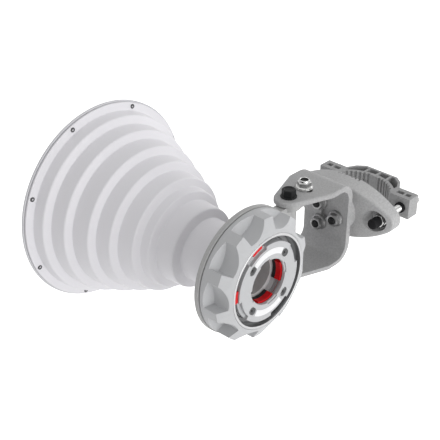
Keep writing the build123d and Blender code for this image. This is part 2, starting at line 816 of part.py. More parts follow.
# Elevation bolts, washers and nuts
washer_x = web_x + face_gap
nut_x = washer_x + washer_t
elevation_shank = nut_x + nut_t + elevation_bolt_end - head_seat_x
with BuildPart() as elevation_bolts:
    hexagon(facing_x.offset(head_seat_x), elevation_places, -head_t)
    disc(facing_x.offset(head_seat_x), elevation_places, bolt_r, elevation_shank)
save(elevation_bolts, "elevation_bolts")
with BuildPart() as elevation_washers:
    disc(facing_x.offset(washer_x), elevation_places, washer_r, washer_t)
    disc(facing_x.offset(washer_x), elevation_places, bolt_r + bolt_gap, washer_t, Mode.SUBTRACT)
save(elevation_washers, "elevation_washers")
with BuildPart() as elevation_nuts:
    disc(facing_x.offset(nut_x), elevation_places, nut_flange_r, nut_flange_t)
    hexagon(facing_x.offset(nut_x), elevation_places, nut_t)
    disc(facing_x.offset(nut_x), elevation_places, bolt_r + bolt_gap, nut_t, Mode.SUBTRACT)
save(elevation_nuts, "elevation_nuts")

# Clamp nuts in the recesses of the base
with BuildPart() as clamp_nuts:
    disc(facing_x.offset(nut_seat_x), clamp_places, nut_flange_r, nut_flange_t)
    hexagon(facing_x.offset(nut_seat_x), clamp_places, nut_t)
    disc(facing_x.offset(nut_seat_x), clamp_places, bolt_r + hole_gap, nut_t, Mode.SUBTRACT)
save(clamp_nuts, "clamp_nuts")

# Clamp jaw: ribbed casting with a toothed arc for the mast
jaw_centre_x = jaw_arc_x + jaw_arc_r
jaw_half_length = clamp_bolt_y + jaw_end_w
wing_mid_x = (wing_inner_x + wing_outer_x) / 2
half_outline = [
    (wing_inner_x, jaw_half_length),
    (wing_outer_x, jaw_half_length),
    (wing_outer_x, hump_foot_y),
    (hump_side_x, hump_side_y),
    (hump_x, hump_half),
]
with BuildPart() as clamp_jaw:
    with BuildSketch(Plane.XY.offset(-jaw_half_height)):
        outline(half_outline + [(x, -y) for x, y in reversed(half_outline)])
        with Locations((jaw_centre_x, 0)):
            Circle(jaw_arc_r, mode=Mode.SUBTRACT)
        for a in jaw_tooth_angles:
            for side in (1, -1):
                tooth = polar(jaw_arc_r, 180 - side * a)
                with Locations((jaw_centre_x + tooth[0], tooth[1])):
                    Rectangle(2 * jaw_tooth_depth, jaw_tooth_w, rotation=-side * a, mode=Mode.SUBTRACT)
    extrude(amount=2 * jaw_half_height)
    with BuildSketch(Plane.XY.offset(jaw_half_height)):
        outline(
            [
                (wing_outer_x, hump_foot_y - jaw_skin),
                (hump_side_x + jaw_skin, hump_side_y - jaw_skin / 2),
                (hump_x + jaw_skin, hump_half - jaw_skin / 2),
                (hump_x + jaw_skin, -hump_half + jaw_skin / 2),
                (hump_side_x + jaw_skin, -hump_side_y + jaw_skin / 2),
                (wing_outer_x, -hump_foot_y + jaw_skin),
                (wing_inner_x - jaw_skin, -hump_foot_y + jaw_skin),
                (wing_inner_x - jaw_skin, hump_foot_y - jaw_skin),
            ]
        )
        with Locations((jaw_centre_x, 0)):
            Circle(jaw_arc_r + jaw_skin + jaw_tooth_depth, mode=Mode.SUBTRACT)
        with Locations((hump_x, 0), (hump_x, jaw_rib_y), (hump_x, -jaw_rib_y)):
            Rectangle(-2 * hump_x, jaw_rib_t, mode=Mode.SUBTRACT)
    extrude(amount=jaw_floor_t - 2 * jaw_half_height, mode=Mode.SUBTRACT)
    with BuildSketch(Plane.XY.offset(jaw_half_height)):
        for offset_y, pocket_length in zip(wing_pocket_offsets, wing_pocket_lengths):
            for side in (1, -1):
                with Locations((wing_mid_x, side * (clamp_bolt_y + offset_y))):
                    Rectangle(wing_pocket_w, pocket_length)
    extrude(amount=-wing_pocket_depth, mode=Mode.SUBTRACT)
    disc(facing_x.offset(hump_x), clamp_places, bolt_r + bolt_gap, -hump_x, Mode.SUBTRACT)
save(clamp_jaw, "clamp_jaw")

# Long clamp bolts, which travel with the jaw
cap_x = nut_seat_x + nut_t + hole_gap
bolt_end_x = cap_x + cap_length - cap_end_t
with BuildPart() as clamp_bolts:
    disc(facing_x.offset(wing_outer_x), clamp_places, nut_flange_r, -nut_flange_t)
    hexagon(facing_x.offset(wing_outer_x), clamp_places, -clamp_head_t)
    disc(facing_x.offset(wing_outer_x), clamp_places, bolt_r, bolt_end_x - wing_outer_x)
save(clamp_bolts, "clamp_bolts")

# Sleeves on the bolts against the inner face of the jaw
with BuildPart() as jaw_sleeves:
    disc(facing_x.offset(wing_inner_x), clamp_places, sleeve_r, sleeve_t)
    disc(facing_x.offset(wing_inner_x), clamp_places, bolt_r + bolt_gap, sleeve_t, Mode.SUBTRACT)
save(jaw_sleeves, "jaw_sleeves")

# Caps over the ends of the clamp bolts
with BuildPart() as bolt_caps:
    disc(facing_x.offset(cap_x), clamp_places, cap_r, cap_length)
    fillet(bolt_caps.faces().sort_by(Axis.X)[-2:].edges(), radius=cap_round)
    disc(facing_x.offset(cap_x), clamp_places, bolt_r + bolt_gap, cap_length - cap_end_t, Mode.SUBTRACT)
save(bolt_caps, "bolt_caps")
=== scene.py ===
# %% [markdown]
# # A stepped horn antenna on a mast clamp
# This script dresses a finished model of the antenna in Blender. The model comes in as a fixed frame: every piece
# already has its place and its size, in metres, with Z up and the mast along Z. We give each piece its finish, turn
# the hardware anew with chamfers and threads, soften the edges of the castings, and light the whole on a pale floor.
# The horn lies on its side at +X and looks along -Y, so its radio port and the twist lock ring face +Y.

# %% Load the frame
import json
import math

import bmesh
import bpy
from mathutils import Matrix, Vector

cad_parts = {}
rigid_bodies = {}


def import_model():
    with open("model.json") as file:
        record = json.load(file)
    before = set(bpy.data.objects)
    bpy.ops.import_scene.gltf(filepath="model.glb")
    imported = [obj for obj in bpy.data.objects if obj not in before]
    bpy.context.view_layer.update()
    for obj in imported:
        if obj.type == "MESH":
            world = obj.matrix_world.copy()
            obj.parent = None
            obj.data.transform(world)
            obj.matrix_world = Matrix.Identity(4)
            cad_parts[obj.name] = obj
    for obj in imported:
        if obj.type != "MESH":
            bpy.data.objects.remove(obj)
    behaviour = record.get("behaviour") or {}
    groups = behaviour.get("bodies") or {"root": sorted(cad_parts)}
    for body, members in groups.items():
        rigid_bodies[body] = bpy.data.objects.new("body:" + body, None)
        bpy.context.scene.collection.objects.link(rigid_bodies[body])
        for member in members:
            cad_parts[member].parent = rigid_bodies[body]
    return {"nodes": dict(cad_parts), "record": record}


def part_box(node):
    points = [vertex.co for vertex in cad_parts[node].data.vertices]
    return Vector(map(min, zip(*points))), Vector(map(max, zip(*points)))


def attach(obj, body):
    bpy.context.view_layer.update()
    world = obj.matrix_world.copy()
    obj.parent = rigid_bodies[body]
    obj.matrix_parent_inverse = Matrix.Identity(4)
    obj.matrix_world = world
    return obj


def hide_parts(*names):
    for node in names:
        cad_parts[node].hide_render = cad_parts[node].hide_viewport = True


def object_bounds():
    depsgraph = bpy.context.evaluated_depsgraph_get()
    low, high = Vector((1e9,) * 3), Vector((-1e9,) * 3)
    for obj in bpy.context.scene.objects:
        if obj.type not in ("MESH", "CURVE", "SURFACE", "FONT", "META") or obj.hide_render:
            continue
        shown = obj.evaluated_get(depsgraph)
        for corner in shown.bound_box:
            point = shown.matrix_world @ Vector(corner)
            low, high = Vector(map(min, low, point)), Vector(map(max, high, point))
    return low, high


for leftover in list(bpy.data.objects):
    bpy.data.objects.remove(leftover)
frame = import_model()
frame_low, frame_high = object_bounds()
mm = 0.001
node_body = {node: body for body, nodes in frame["record"]["behaviour"]["bodies"].items() for node in nodes}
node_slot = {part["node"]: part["material_slot"] for part in frame["record"]["subparts"]}
print("pieces in the frame:", len(frame["nodes"]))

# %% [markdown]
# ## The camera
# The camera comes first, so that every render from here on can be held beside the photograph. It stands behind the
# antenna, above the level of the port, and its lens is fairly long. A long lens keeps the round port round: a short
# one would swell whatever is nearest. The direction was worked out from the ellipses of the port and the horn mouth.

# %% Camera
camera_place = Vector((0.8050, 0.5449, 0.5274))
camera_forward = Vector((-0.6266, -0.5926, -0.5062))
camera_angle = math.radians(25.25)

camera = bpy.data.objects.new("Camera", bpy.data.cameras.new("Camera"))
bpy.context.collection.objects.link(camera)
camera.location = camera_place
camera.rotation_euler = camera_forward.to_track_quat("-Z", "Y").to_euler()
camera.data.sensor_width = 36.0
camera.data.lens = camera.data.sensor_width / (2 * math.tan(camera_angle / 2))
bpy.context.scene.camera = camera
print("lens in millimetres:", round(camera.data.lens, 1))

# %% [markdown]
# ## Finishes
# Every finish here starts from one Principled shader. A product like this is judged by small differences: paint,
# moulded plastic, sand cast metal and plated steel may all be grey, and what tells them apart is how rough they are
# and what grain breaks up their highlights. So a single helper takes the colour, the roughness and the grain. The
# grain is a noise that reads Object coordinates, which are metres here, so a scale of 900 gives grains of about a
# millimetre. It drives a gentle bump, which even paint and plated steel have, and on castings a slight change of
# shade. Numbers that are the same all over the surface
# are written straight on the shader's own sockets.


# %% Helper for a finish
def finish(name, colour, roughness, metallic=0.0, grain=0.06, grain_scale=900.0, mottle=0.0, coat=0.0, shine=0.5):
    """A material with a fine grain, and a slight mottle where one is given."""
    material = bpy.data.materials.new(name)
    material.use_nodes = True
    nodes = material.node_tree.nodes
    links = material.node_tree.links
    shader = nodes["Principled BSDF"]
    shader.inputs["Base Color"].default_value = (*colour, 1)
    shader.inputs["Roughness"].default_value = roughness
    shader.inputs["Metallic"].default_value = metallic
    shader.inputs["Coat Weight"].default_value = coat
    shader.inputs["Specular IOR Level"].default_value = shine
    material.diffuse_color = (*colour, 1)
    if grain or mottle:
        coordinates = nodes.new("ShaderNodeTexCoord")
    if grain:
        noise = nodes.new("ShaderNodeTexNoise")
        noise.inputs["Scale"].default_value = grain_scale
        noise.inputs["Detail"].default_value = 3.0
        bump = nodes.new("ShaderNodeBump")
        bump.inputs["Strength"].default_value = grain
        bump.inputs["Distance"].default_value = 0.0004
        links.new(coordinates.outputs["Object"], noise.inputs["Vector"])
        links.new(noise.outputs["Fac"], bump.inputs["Height"])
        links.new(bump.outputs["Normal"], shader.inputs["Normal"])
    if mottle:
        patches = nodes.new("ShaderNodeTexNoise")
        patches.inputs["Scale"].default_value = grain_scale * 0.6
        patches.inputs["Detail"].default_value = 4.0
        ramp = nodes.new("ShaderNodeValToRGB")
        ramp.color_ramp.elements[0].position = 0.35
        ramp.color_ramp.elements[1].position = 0.65
        ramp.color_ramp.elements[0].color = (*[c * (1 - mottle) for c in colour], 1)
        ramp.color_ramp.elements[1].color = (*[min(1, c * (1 + mottle)) for c in colour], 1)
        links.new(coordinates.outputs["Object"], patches.inputs["Vector"])
        links.new(patches.outputs["Fac"], ramp.inputs["Fac"])
        links.new(ramp.outputs["Color"], shader.inputs["Base Color"])
    return material


# %% [markdown]
# The finishes themselves are a short table of calls. The horn is sprayed a cool near-white with a soft gloss, and
# the radome on its mouth is light grey matte plastic. The grip ring is moulded in a light grey satin plastic with
# the very fine grain of a spark eroded mould. The yoke, the clamp and the carrier are cast, so they are mottled and
# rough. The nuts are plated steel, and the lock inside the port is red, as in the photograph.

# %% The finishes, one for each slot of the record
finishes = {
    "horn_paint": finish("Horn paint", (0.765, 0.755, 0.785), 0.45, coat=0.05),
    "radome_grey": finish("Radome plastic", (0.62, 0.62, 0.64), 0.6, grain=0.15),
    "seal_black": finish("Black rubber", (0.012, 0.012, 0.013), 0.7),
    "screw_steel": finish("Dark screw steel", (0.07, 0.07, 0.072), 0.42, metallic=0.3),
    "throat_aluminium": finish("Turned aluminium of the throat", (0.60, 0.60, 0.60), 0.42, metallic=0.3),
    "carrier_cast": finish("Cast carrier", (0.41, 0.41, 0.408), 0.55, grain=0.25, mottle=0.05),
    "port_plastic": finish("Port plastic", (0.47, 0.475, 0.485), 0.5, grain=0.1),
    "label_white": finish("Bare label film", (0.80, 0.80, 0.81), 0.45),
    "ring_plastic": finish("Ring plastic", (0.49, 0.495, 0.505), 0.5, grain=0.12, grain_scale=1400.0),
    "trim_bright": finish("Bright trim", (0.46, 0.46, 0.465), 0.34, metallic=1.0),
    "lock_red": finish("Lock red", (0.62, 0.008, 0.012), 0.42, shine=0.2),
    "pad_black": finish("Black pad", (0.014, 0.015, 0.016), 0.6, shine=0.25),
    "bracket_cast": finish("Cast bracket", (0.39, 0.39, 0.392), 0.6, grain=0.5, mottle=0.10),
    "jaw_cast": finish("Cast jaw", (0.35, 0.35, 0.352), 0.62, grain=0.55, mottle=0.12),
    "bolt_black": finish("Black bolt", (0.009, 0.0095, 0.01), 0.5, grain=0.4, shine=0.18),
    "bolt_steel": finish("Zinc plated steel", (0.50, 0.50, 0.495), 0.2, metallic=1.0),
    "cap_black": finish("Black cap", (0.009, 0.009, 0.01), 0.6, grain=0.3, shine=0.15),
}
print("finishes:", len(finishes))

# %% [markdown]
# ## Helpers for finished pieces
# A finished piece has to stand still in the frame: its object sits at the origin and its place is in its mesh. The
# helper below gives a piece the finish of its node's slot, hides the plain solid that it stands for, and lets it ride
# on the same body as that solid, so that it moves with the joints.


# %% Helper that puts a finished piece in its place
def stand_in(piece, node):
    """The piece takes the place, the finish and the body of a node of the frame."""
    slot_name = node_slot[node]
    if not piece.data.materials:
        piece.data.materials.append(finishes[slot_name])
    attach(piece, node_body[node])
    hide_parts(node)
    print(node, "faces:", len(piece.data.polygons))
    return piece


def plain_copy(rigged, name):
    """Turns what an object's modifiers give into a plain mesh, and removes the object."""
    graph = bpy.context.evaluated_depsgraph_get()
    final = rigged.evaluated_get(graph)
    mesh = bpy.data.meshes.new_from_object(final, preserve_all_data_layers=True, depsgraph=graph)
    rigged.modifiers.clear()
    old = rigged.data
    bpy.data.objects.remove(rigged)
    bpy.data.meshes.remove(old)
    mesh.name = name
    piece = bpy.data.objects.new(name, mesh)
    bpy.context.collection.objects.link(piece)
    return piece


def face_outwards(mesh):
    """Merges doubles and turns all faces of a closed mesh outwards."""
    work = bmesh.new()
    work.from_mesh(mesh)
    bmesh.ops.remove_doubles(work, verts=work.verts, dist=0.001 * mm)
    bmesh.ops.recalc_face_normals(work, faces=work.faces)
    work.to_mesh(mesh)
    work.free()


# %% [markdown]
# ## Castings and mouldings with softened edges
# No cast or moulded piece has a knife edge. The solids of the frame have the main roundings, and the rest of their
# edges are sharp, which looks like paper in a render because nothing catches the light. A copy of the solid is
# merged, its flat triangles are joined into whole faces, and a Bevel modifier rounds every edge that is sharper than
# an angle. Weighted normals then keep the flat faces flat. This is quicker than modelling each piece again, and the
# piece keeps its place and, apart from the rounded edges, its form.
#
# The clamp jaw needs one step more. Its top face runs round the pockets and has very many corners, and Blender filled
# it wrongly after the bevel, which left a dark spot. So the crowded faces of the jaw are split into triangles first.


# %% Helper for softened pieces
def softened(node, width, segments=2, sharper_than=35.0, most_corners=1000):
    """A copy of a node with its sharp edges rounded by a width in metres."""
    mesh = frame["nodes"][node].data.copy()
    mesh.materials.clear()
    work = bmesh.new()
    work.from_mesh(mesh)
    bmesh.ops.remove_doubles(work, verts=work.verts, dist=0.001 * mm)
    bmesh.ops.dissolve_limit(
        work, angle_limit=math.radians(0.6), use_dissolve_boundaries=False, verts=work.verts, edges=work.edges
    )
    crowded = [face for face in work.faces if len(face.verts) > most_corners]
    bmesh.ops.triangulate(work, faces=crowded)
    for face in work.faces:
        face.smooth = True
    for edge in work.edges:
        edge.smooth = len(edge.link_faces) != 2 or edge.calc_face_angle(0) < math.radians(sharper_than)
    work.to_mesh(mesh)
    work.free()
    rigged = bpy.data.objects.new(node + "_soft", mesh)
    bpy.context.collection.objects.link(rigged)
    bevel = rigged.modifiers.new("Edge", "BEVEL")
    bevel.width = width
    bevel.segments = segments
    bevel.limit_method = "ANGLE"
    bevel.angle_limit = math.radians(sharper_than)
    bevel.miter_outer = "MITER_ARC"
    normals = rigged.modifiers.new("Normals", "WEIGHTED_NORMAL")
    normals.keep_sharp = True
    piece = plain_copy(rigged, node + "_finished")
    return stand_in(piece, node)


# %% [markdown]
# The widths run from 0.15 millimetres on the cover screws to 0.8 on the yoke. The jaw gets a call of its own for its
# crowded faces.

# %% Softened pieces
edge_widths = {
    "lock_ring": 0.7 * mm,
    "yoke": 0.8 * mm,
    "clamp_base": 0.7 * mm,
    "clamp_jaw": 0.35 * mm,
    "carrier": 0.4 * mm,
    "port_cover": 0.3 * mm,
    "port_housing": 0.2 * mm,
    "lock_rotor": 0.25 * mm,
    "lock_pads": 0.2 * mm,
    "cover_screws": 0.15 * mm,
}
castings = {node: softened(node, width) for node, width in edge_widths.items() if node != "clamp_jaw"}
castings["clamp_jaw"] = softened("clamp_jaw", edge_widths["clamp_jaw"], most_corners=20)

# %% [markdown]
# The clamp base is cast like the yoke, but it is a shade lighter in the photograph, so it gets a finish of its own.

# %% Lighter base
castings["clamp_base"].data.materials[0] = finish("Cast base", (0.45, 0.45, 0.452), 0.6, grain=0.5, mottle=0.10)
print("base finish:", castings["clamp_base"].data.materials[0].name)

# %% [markdown]
# The lock is red only where a rigger has to see it: on the four jaws in the bore and on the two ears in the groove.
# The ring between them is a dark grey: partly a grey of its own, and partly painted shade for the shadow that lies on
# it in the bore. So the faces of the rotor are sorted by their distance from the port's axis. The tops of the ears
# are raised a little, so that they show over the rim of the groove as in the photograph.

# %% Grey band of the rotor, partly painted shade
port_place = Vector((0.205, 0.007, 0))
rotor = castings["lock_rotor"].data
# The dark grey of the band is partly the ring's own colour and partly painted shade for the bore.
rotor.materials.append(finish("Grey rotor with painted shade", (0.30, 0.30, 0.305), 0.5))
band_from, band_to = 25.3 * mm, 42.3 * mm
ear_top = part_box("lock_rotor")[1].y
ear_tip = 1.5 * mm
ear_raise = 1.0 * mm
for face in rotor.polygons:
    distance = math.hypot(face.center.x - port_place.x, face.center.z)
    face.material_index = 1 if band_from < distance < band_to else 0
for corner in rotor.vertices:
    if corner.co.y > ear_top - ear_tip:
        corner.co.y += ear_raise
print("grey faces of the rotor:", sum(face.material_index for face in rotor.polygons))

# %% [markdown]
# ## One tree for everything that is turned
# The horn, the radome, the screws, the nuts, the caps and the trim ring have one thing in common: each is a section
# turned round an axis. So one Geometry Nodes tree makes them all. The object that carries it is only a line of
# points, with the radius as X and the height as Y. The tree rounds the corners of the line, lays a grid with one row
# for each point of the line, and bends the grid round the axis. Three values on the points bend the rule:
# "flat" squares a row off to a hexagon, "drop" lets the row fall away beyond the chamfer circle as on a real nut,
# and "thread" cuts a groove that climbs one pitch a turn. Last, the tree repeats the piece round a circle.
# Doing it by rule means that a nut's chamfer gives the true curved edge on each flat, with no modelling by hand.


# %% Helper that builds a tree
class Nodes:
    """Adds nodes to a tree. An input takes a plain value or another node's output."""

    def __init__(self, tree):
        self.tree = tree

    def put(self, kind, values=(), out=0, **settings):
        """Adds one node, sets its inputs by position or name, and returns one of its outputs."""
        node = self.tree.nodes.new(kind)
        for key, value in settings.items():
            setattr(node, key, value)
        pairs = values.items() if isinstance(values, dict) else enumerate(values)
        for key, value in pairs:
            if value is None:
                continue
            socket = node.inputs[key]
            if isinstance(value, bpy.types.NodeSocket):
                self.tree.links.new(value, socket)
            else:
                socket.default_value = value
        return node.outputs[out]

    def math(self, operation, *values):
        """One step of arithmetic."""
        return self.put("ShaderNodeMath", values, operation=operation)

    def named(self, name):
        """A value that the points of the line carry."""
        return self.put("GeometryNodeInputNamedAttribute", {"Name": name}, data_type="FLOAT")

    def at_row(self, curve, value, row, data_type="FLOAT"):
        """The value that the curve has at the point of that row."""
        values = {"Geometry": curve, "Value": value, "Index": row}
        return self.put("GeometryNodeSampleIndex", values, data_type=data_type, domain="POINT")


# %% The tree for turned pieces
turned_sizes = [
    ("Segments", "NodeSocketInt", 64),
    ("Flats", "NodeSocketInt", 6),
    ("Chamfer Radius", "NodeSocketFloat", 0.006),
    ("Thread Depth", "NodeSocketFloat", 0.0004),
    ("Thread Pitch", "NodeSocketFloat", 0.00125),
    ("Count", "NodeSocketInt", 1),
    ("Circle Radius", "NodeSocketFloat", 0.0),
    ("Start Angle", "NodeSocketFloat", 0.0),
    ("Turn", "NodeSocketVector", (0, 0, 0)),
    ("Place", "NodeSocketVector", (0, 0, 0)),
    ("Material", "NodeSocketMaterial", None),
]


def turned_tree():
    """Tree that turns a line round an axis, with flats and threads, and repeats it round a circle."""
    tree = bpy.data.node_groups.new("Turned pieces", "GeometryNodeTree")
    tree.interface.new_socket("Line", in_out="INPUT", socket_type="NodeSocketGeometry")
    for name, kind, value in turned_sizes:
        socket = tree.interface.new_socket(name, in_out="INPUT", socket_type=kind)
        if value is not None:
            socket.default_value = value
    tree.interface.new_socket("Pieces", in_out="OUTPUT", socket_type="NodeSocketGeometry")
    given = tree.nodes.new("NodeGroupInput").outputs
    n = Nodes(tree)

    curve = n.put("GeometryNodeMeshToCurve", {"Mesh": given["Line"]})
    rounding = {"Curve": curve, "Count": 5, "Limit Radius": True, "Radius": n.named("round")}
    curve = n.put("GeometryNodeFilletCurve", rounding, mode="POLY")
    rows = n.put("GeometryNodeAttributeDomainSize", {"Geometry": curve}, component="CURVE")
    columns = n.math("ADD", given["Segments"], 1.0)
    grid_values = {"Size X": 1.0, "Size Y": 1.0, "Vertices X": rows, "Vertices Y": columns}
    grid = n.put("GeometryNodeMeshGrid", grid_values)

    here = n.tree.nodes.new("ShaderNodeSeparateXYZ")
    n.tree.links.new(n.put("GeometryNodeInputPosition"), here.inputs[0])
    row = n.math("MULTIPLY", n.math("ADD", here.outputs["X"], 0.5), n.math("SUBTRACT", rows, 1.0))
    row = n.math("ROUND", row)
    angle = n.math("MULTIPLY", n.math("ADD", here.outputs["Y"], 0.5), math.tau)

    on_line = n.at_row(curve, n.put("GeometryNodeInputPosition"), row, "FLOAT_VECTOR")
    line = n.tree.nodes.new("ShaderNodeSeparateXYZ")
    n.tree.links.new(on_line, line.inputs[0])
    radius = line.outputs["X"]
    height = line.outputs["Y"]

    side = n.math("DIVIDE", math.tau, given["Flats"])
    within = n.math("SUBTRACT", n.math("FLOORED_MODULO", angle, side), n.math("MULTIPLY", side, 0.5))
    stretch = n.math("SUBTRACT", n.math("DIVIDE", 1.0, n.math("COSINE", within)), 1.0)
    flat = n.at_row(curve, n.named("flat"), row)
    radius = n.math("MULTIPLY", radius, n.math("ADD", 1.0, n.math("MULTIPLY", flat, stretch)))
    beyond = n.math("MAXIMUM", n.math("SUBTRACT", radius, given["Chamfer Radius"]), 0.0)
    fall = n.math("MULTIPLY", n.at_row(curve, n.named("drop"), row), beyond)
    height_here = n.math("SUBTRACT", height, fall)

    turns = n.math("SUBTRACT", n.math("DIVIDE", height, given["Thread Pitch"]), n.math("DIVIDE", angle, math.tau))
    wave = n.math("ABSOLUTE", n.math("SUBTRACT", n.math("MULTIPLY", n.math("FRACT", turns), 2.0), 1.0))
    cut = n.math("MULTIPLY", n.math("MULTIPLY", wave, given["Thread Depth"]), n.at_row(curve, n.named("thread"), row))
    radius = n.math("SUBTRACT", radius, cut)

    east = n.math("MULTIPLY", radius, n.math("COSINE", angle))
    north = n.math("MULTIPLY", radius, n.math("SINE", angle))
    spot = n.put("ShaderNodeCombineXYZ", (east, north, height_here))
    body = n.put("GeometryNodeSetPosition", {"Geometry": grid, "Position": spot})
    body = n.put("GeometryNodeMergeByDistance", {"Geometry": body, "Distance": 0.002 * mm})

    step = n.math("DIVIDE", math.tau, given["Count"])
    spin = n.math("ADD", given["Start Angle"], n.math("MULTIPLY", n.put("GeometryNodeInputIndex"), step))
    out_x = n.math("MULTIPLY", given["Circle Radius"], n.math("COSINE", spin))
    out_y = n.math("MULTIPLY", given["Circle Radius"], n.math("SINE", spin))
    places = n.put("GeometryNodePoints", (given["Count"], n.put("ShaderNodeCombineXYZ", (out_x, out_y, 0.0))))
    facing = n.put("FunctionNodeEulerToRotation", (n.put("ShaderNodeCombineXYZ", (0.0, 0.0, spin)),))
    pieces = n.put("GeometryNodeInstanceOnPoints", {"Points": places, "Instance": body, "Rotation": facing})
    moved = {"Geometry": pieces, "Translation": given["Place"], "Rotation": given["Turn"]}
    pieces = n.put("GeometryNodeTransform", moved)
    pieces = n.put("GeometryNodeRealizeInstances", {"Geometry": pieces})
    pieces = n.put("GeometryNodeSetMaterial", {"Geometry": pieces, "Material": given["Material"]})
    tree.links.new(pieces, tree.nodes.new("NodeGroupOutput").inputs["Pieces"])
    return tree


turned_pieces = turned_tree()
print("nodes in the tree:", len(turned_pieces.nodes))

# %% [markdown]
# The helper below uses the tree. It takes the line's points with their marks, sets the tree's inputs by the sockets'
# identifiers, and turns the result into a plain mesh before the piece joins the frame. Four ways of facing cover the
# whole antenna: along the port, towards the horn, towards the mast, and up or down the mast.

# %% Helper that turns a line into finished pieces
facings = {
    "port": Matrix(((-1, 0, 0), (0, 0, 1), (0, 1, 0))),
    "horn side": Matrix(((0, 0, 1), (1, 0, 0), (0, 1, 0))),
    "mast side": Matrix(((0, 0, -1), (-1, 0, 0), (0, 1, 0))),
    "up": Matrix(((1, 0, 0), (0, 1, 0), (0, 0, 1))),
    "down": Matrix(((1, 0, 0), (0, -1, 0), (0, 0, -1))),
}
marks = ("round", "flat", "drop", "thread")


def turned(name, line, facing, place, material, **sizes):
    """A plain mesh of the line's points turned round an axis. A point is (radius, height, marks) in millimetres."""
    mesh = bpy.data.meshes.new(name)
    spots = [(point[0] * mm, point[1] * mm, 0) for point in line]
    mesh.from_pydata(spots, [(k, k + 1) for k in range(len(spots) - 1)], [])
    for mark in marks:
        layer = mesh.attributes.new(mark, "FLOAT", "POINT")
        for k, point in enumerate(line):
            given = point[2] if len(point) > 2 else {}
            layer.data[k].value = given.get(mark, 0) * (mm if mark == "round" else 1)
    rigged = bpy.data.objects.new(name + "_line", mesh)
    bpy.context.collection.objects.link(rigged)
    modifier = rigged.modifiers.new("Turned", "NODES")
    modifier.node_group = turned_pieces
    sizes["Material"] = material
    sizes["Place"] = tuple(place)
    sizes["Turn"] = tuple(facings[facing].to_euler())
    for item in turned_pieces.interface.items_tree:
        if item.item_type == "SOCKET" and item.name in sizes:
            modifier[item.identifier] = sizes[item.name]
    piece = plain_copy(rigged, name)
    face_outwards(piece.data)
    piece.data.set_sharp_from_angle(angle=math.radians(32))
    return piece


# %% [markdown]
# ## The horn shell
# The horn is the piece that catches the eye: eight round bands, each a step wider than the last, so that it flares
# like a stack of flower pots. All the steps rise by the same amount, and only the lengths of the bands differ, so the
# whole section is worked out in a loop from the neck, the mouth and the band lengths. The outer corners are rounder
# than the inner ones. The section goes out along the skin and back along the inside, one wall further in.

# %% Horn shell
neck_r = 33.5
mouth_r = 111.0
horn_wall = 2.5
band_lengths = (51, 24, 13, 23, 22, 25, 22, 17)
band_draft = 1.0
step_lean = 3.0
mouth_lean = 1.5
mouth_flange = 2.0
step_rise = (mouth_r - neck_r) / len(band_lengths)


def horn_line():
    """Points of the horn's section, out along the skin and back along the inside."""
    skin = [(neck_r, 0)]
    inside = [(neck_r - horn_wall, 0)]
    height = 0.0
    for k, length in enumerate(band_lengths[:-1]):
        height -= length
        before = neck_r + k * step_rise + (band_draft if k else 0)
        after = neck_r + (k + 1) * step_rise
        skin += [(before, height, {"round": 1.2}), (after, height - step_lean, {"round": 2.4})]
        inside += [(before - horn_wall, height - horn_wall, {"round": 1.2})]
        inside += [(after - horn_wall, height - step_lean - horn_wall, {"round": 1.2})]
    height -= band_lengths[-1]
    last_r = mouth_r - step_rise + band_draft
    front = height - mouth_lean - mouth_flange
    skin += [(last_r, height, {"round": 1.2}), (mouth_r, height - mouth_lean, {"round": 0.5})]
    skin += [(mouth_r, front, {"round": 0.3})]
    inside += [(last_r - horn_wall, front)]
    return skin + inside[::-1] + skin[:1], last_r - horn_wall, front


horn_points, mouth_bore_r, mouth_front = horn_line()
horn = turned("horn_shell_finished", horn_points, "port", port_place, finishes["horn_paint"], Segments=256)
stand_in(horn, "horn_shell")
print("mouth front in millimetres:", mouth_front)

# %% [markdown]
# ## The radome and its seal
# The horn is closed by a shallow dome that keeps rain and insects out and lets the radio waves through. A flat seal
# lies between them, and eight small screws come through the flange of the horn from behind. The dome is part of a
# ball, so its curve is worked out from how far it reaches and how much it rises.

# %% Radome and seal
radome_r = 112.8
seal_thickness = 0.8
seal_width = 4.0
rim_thickness = 3.0
rim_width = 2.0
rim_lean = 1.2
radome_rise = 7.0
radome_wall = 2.4
radome_back = mouth_front - seal_thickness
radome_front = radome_back - rim_thickness
crown = radome_front - radome_rise


def dome(apex, reach, rise, count=24):
    """Points of an arc that leaves the axis square to it and rises over a reach."""
    ball = (reach**2 + rise**2) / (2 * rise)
    radii = [reach * k / count for k in range(count + 1)]
    return [(radius, apex + ball - math.sqrt(ball**2 - radius**2)) for radius in radii]


radome_points = dome(crown, radome_r - rim_width, radome_rise)
radome_points += [(radome_r, radome_front + rim_lean, {"round": 0.5}), (radome_r, radome_back, {"round": 0.3})]
radome_points += dome(crown + radome_wall, mouth_bore_r, radome_back - crown - radome_wall)[::-1]
radome = turned("radome_finished", radome_points, "port", port_place, finishes["radome_grey"], Segments=256)
stand_in(radome, "radome")

seal_r = mouth_bore_r + seal_width
seal_points = [(mouth_bore_r, mouth_front), (seal_r, mouth_front), (seal_r, radome_back)]
seal_points += [(mouth_bore_r, radome_back), (mouth_bore_r, mouth_front)]
seal = turned("radome_seal_finished", seal_points, "port", port_place, finishes["seal_black"], Segments=128)
stand_in(seal, "radome_seal")

# %% [markdown]
# The flange screws are small cap screws. The "flat" mark makes the socket in each head a hexagon.

